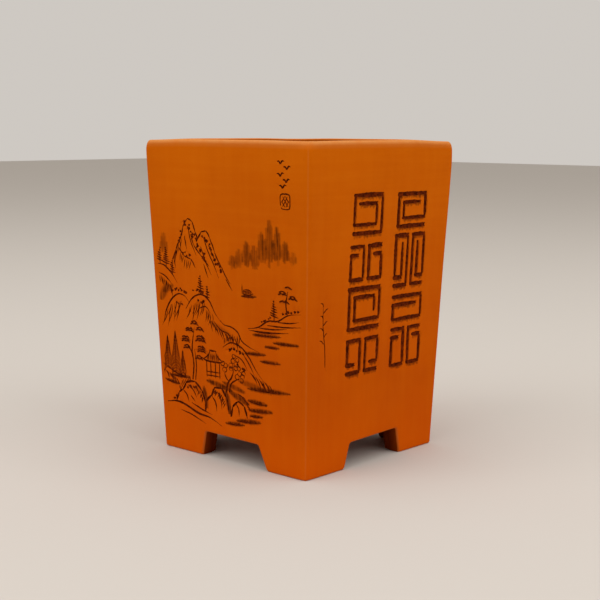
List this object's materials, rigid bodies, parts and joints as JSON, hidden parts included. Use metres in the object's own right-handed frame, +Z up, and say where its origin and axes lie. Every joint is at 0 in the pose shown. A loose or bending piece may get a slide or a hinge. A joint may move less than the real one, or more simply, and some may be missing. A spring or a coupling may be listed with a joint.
{
  "type": "brush holder pot",
  "caption": "Square clay pot that widens to its rim and stands on four corner feet, with a carved landscape and a fret panel, for standing calligraphy brushes upright.",
  "frame": {"origin": "middle of the footprint, on the table", "axes": "+Z up; the landscape wall faces -X and the ornament wall faces -Y, so the front corner is at -X -Y"},
  "size_m": [0.0984, 0.0984, 0.14],
  "materials": {
    "orange_clay": "matte",
    "inner_clay": "matte",
    "dark_pigment": "matte"
  },
  "bodies": {
    "root": {"landscape_wall": "orange_clay", "ornament_wall": "orange_clay", "back_left_wall": "orange_clay", "back_right_wall": "orange_clay", "front_foot": "orange_clay", "left_foot": "orange_clay", "right_foot": "orange_clay", "back_foot": "orange_clay", "floor_slab": "inner_clay", "front_corner_seam": "inner_clay", "left_corner_seam": "inner_clay", "right_corner_seam": "inner_clay", "back_corner_seam": "inner_clay", "ornament_floor_seam": "inner_clay", "landscape_floor_seam": "inner_clay", "back_left_floor_seam": "inner_clay", "back_right_floor_seam": "inner_clay", "landscape_inlay": "dark_pigment", "fret_inlay": "dark_pigment"}
  },
  "joints": []
}
